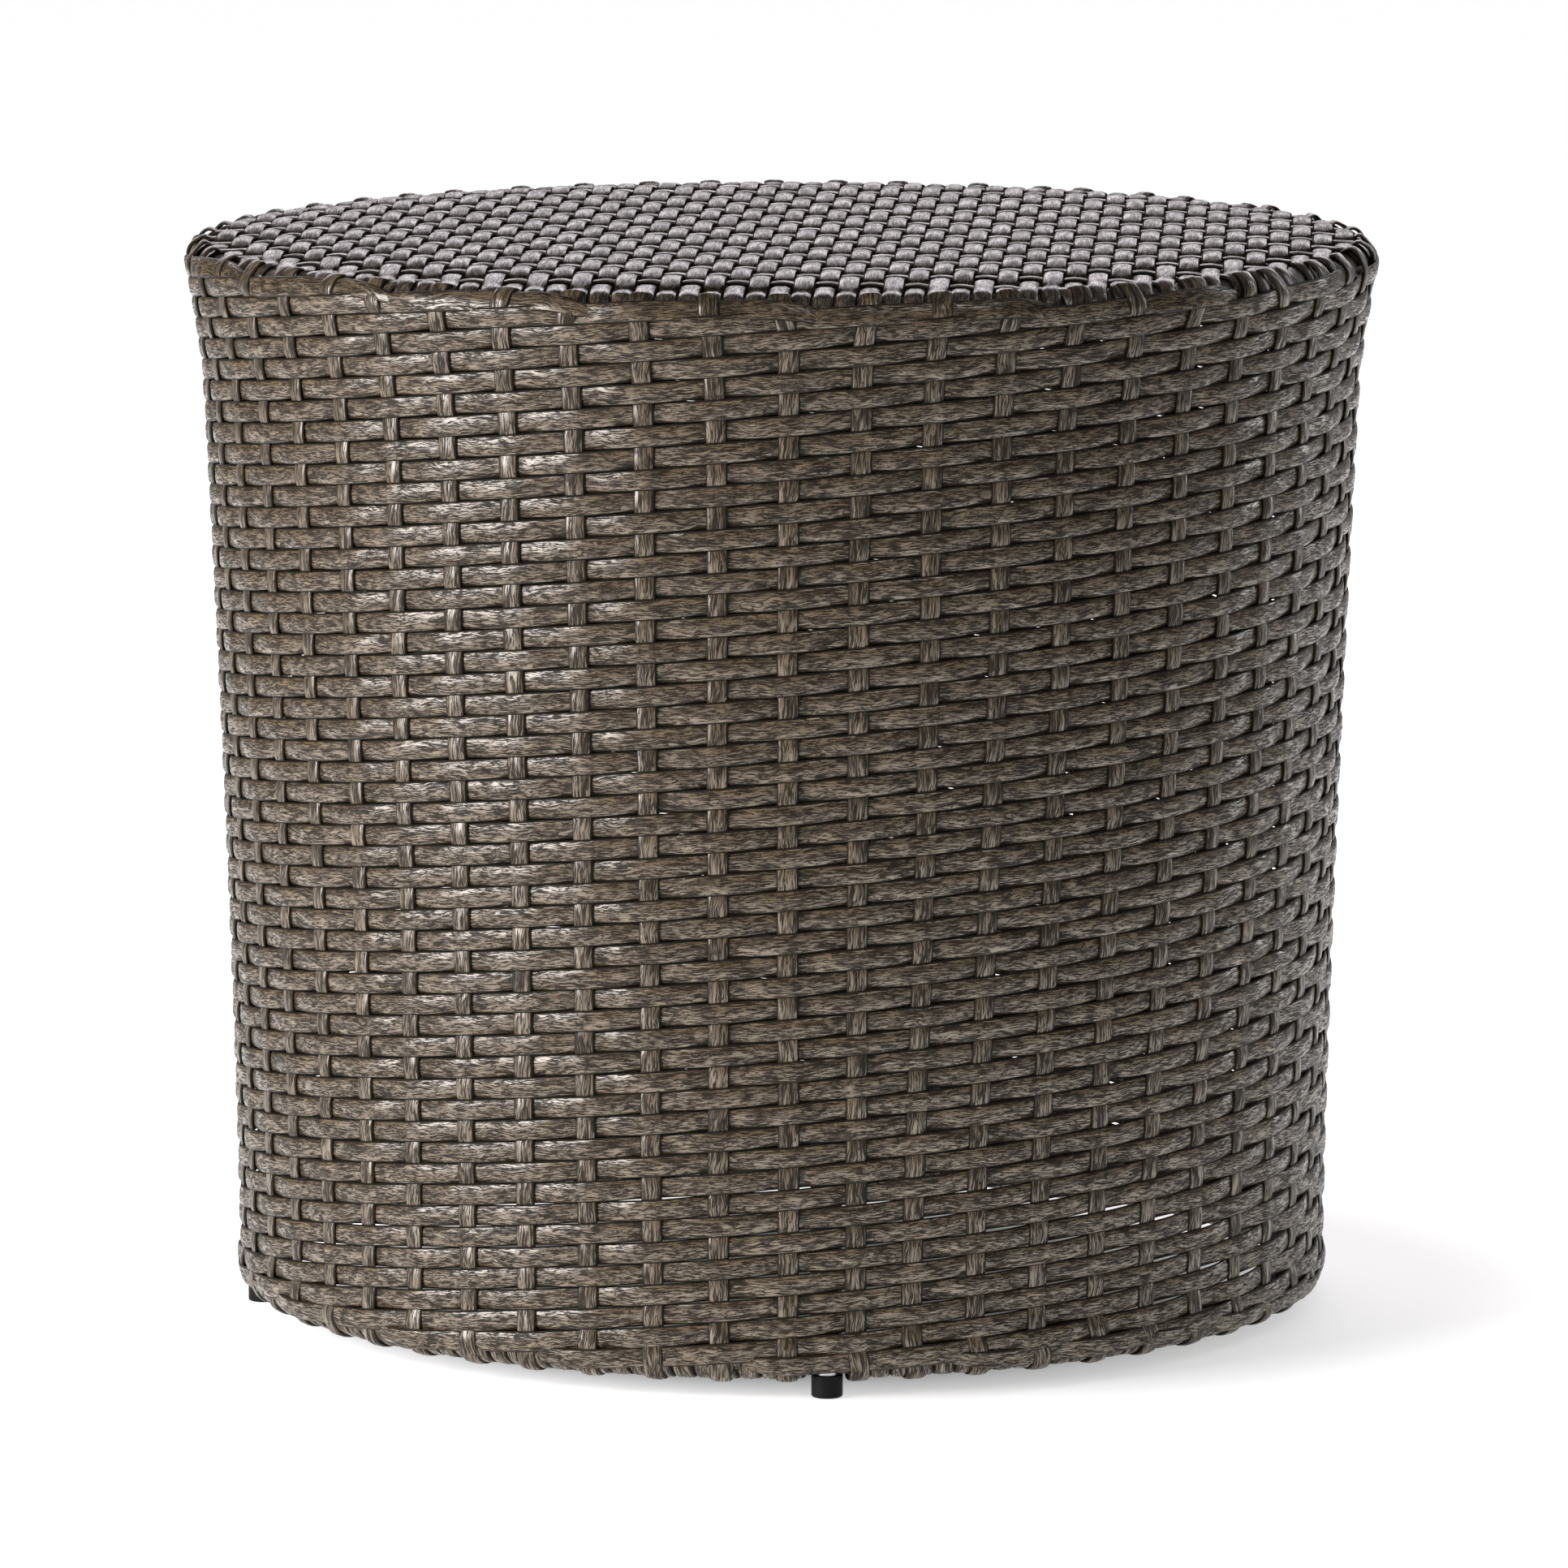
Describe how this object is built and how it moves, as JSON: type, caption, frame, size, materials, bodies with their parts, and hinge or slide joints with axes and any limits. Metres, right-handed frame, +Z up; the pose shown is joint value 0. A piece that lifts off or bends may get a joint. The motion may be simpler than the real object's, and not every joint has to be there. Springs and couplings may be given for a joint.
{
  "type": "side table",
  "caption": "Round barrel side table of flat plastic wicker woven over a hidden tube frame, with a woven top, a flared rim, a turned-in hem and screw-in glides.",
  "frame": {"origin": "on the floor, under the centre of the top", "axes": "+Z up; -Y is the front, where one of the four glides stands"},
  "size_m": [0.5079, 0.508, 0.46],
  "materials": {
    "wicker": "satin extruded strand with fine grey, tan and dark brown streaks along it",
    "frame_coat": "dark brown powder coat, fine orange peel",
    "zinc": "zinc plated",
    "nylon": "moulded, satin"
  },
  "bodies": {
    "table": {"top_ring": "frame_coat", "bottom_ring": "frame_coat", "hoop_upper": "frame_coat", "hoop_lower": "frame_coat", "post_front": "frame_coat", "post_right": "frame_coat", "post_back": "frame_coat", "post_left": "frame_coat", "top_crossbar": "frame_coat", "top_half_bar_front": "frame_coat", "top_half_bar_back": "frame_coat", "bush_front": "zinc", "bush_right": "zinc", "bush_back": "zinc", "bush_left": "zinc", "side_weave": "wicker", "rim_wrap": "wicker", "top_weave": "wicker", "hem_wrap": "wicker"},
    "glide_front": {"stud_front": "zinc", "pad_front": "nylon"},
    "glide_right": {"stud_right": "zinc", "pad_right": "nylon"},
    "glide_back": {"stud_back": "zinc", "pad_back": "nylon"},
    "glide_left": {"stud_left": "zinc", "pad_left": "nylon"}
  },
  "joints": [
    {"name": "glide_front_screw", "type": "slide", "parent": "table", "child": "glide_front", "axis": [0, 0, -1], "range_m": [0, 0.008]},
    {"name": "glide_right_screw", "type": "slide", "parent": "table", "child": "glide_right", "axis": [0, 0, -1], "range_m": [0, 0.008]},
    {"name": "glide_back_screw", "type": "slide", "parent": "table", "child": "glide_back", "axis": [0, 0, -1], "range_m": [0, 0.008]},
    {"name": "glide_left_screw", "type": "slide", "parent": "table", "child": "glide_left", "axis": [0, 0, -1], "range_m": [0, 0.008]}
  ]
}
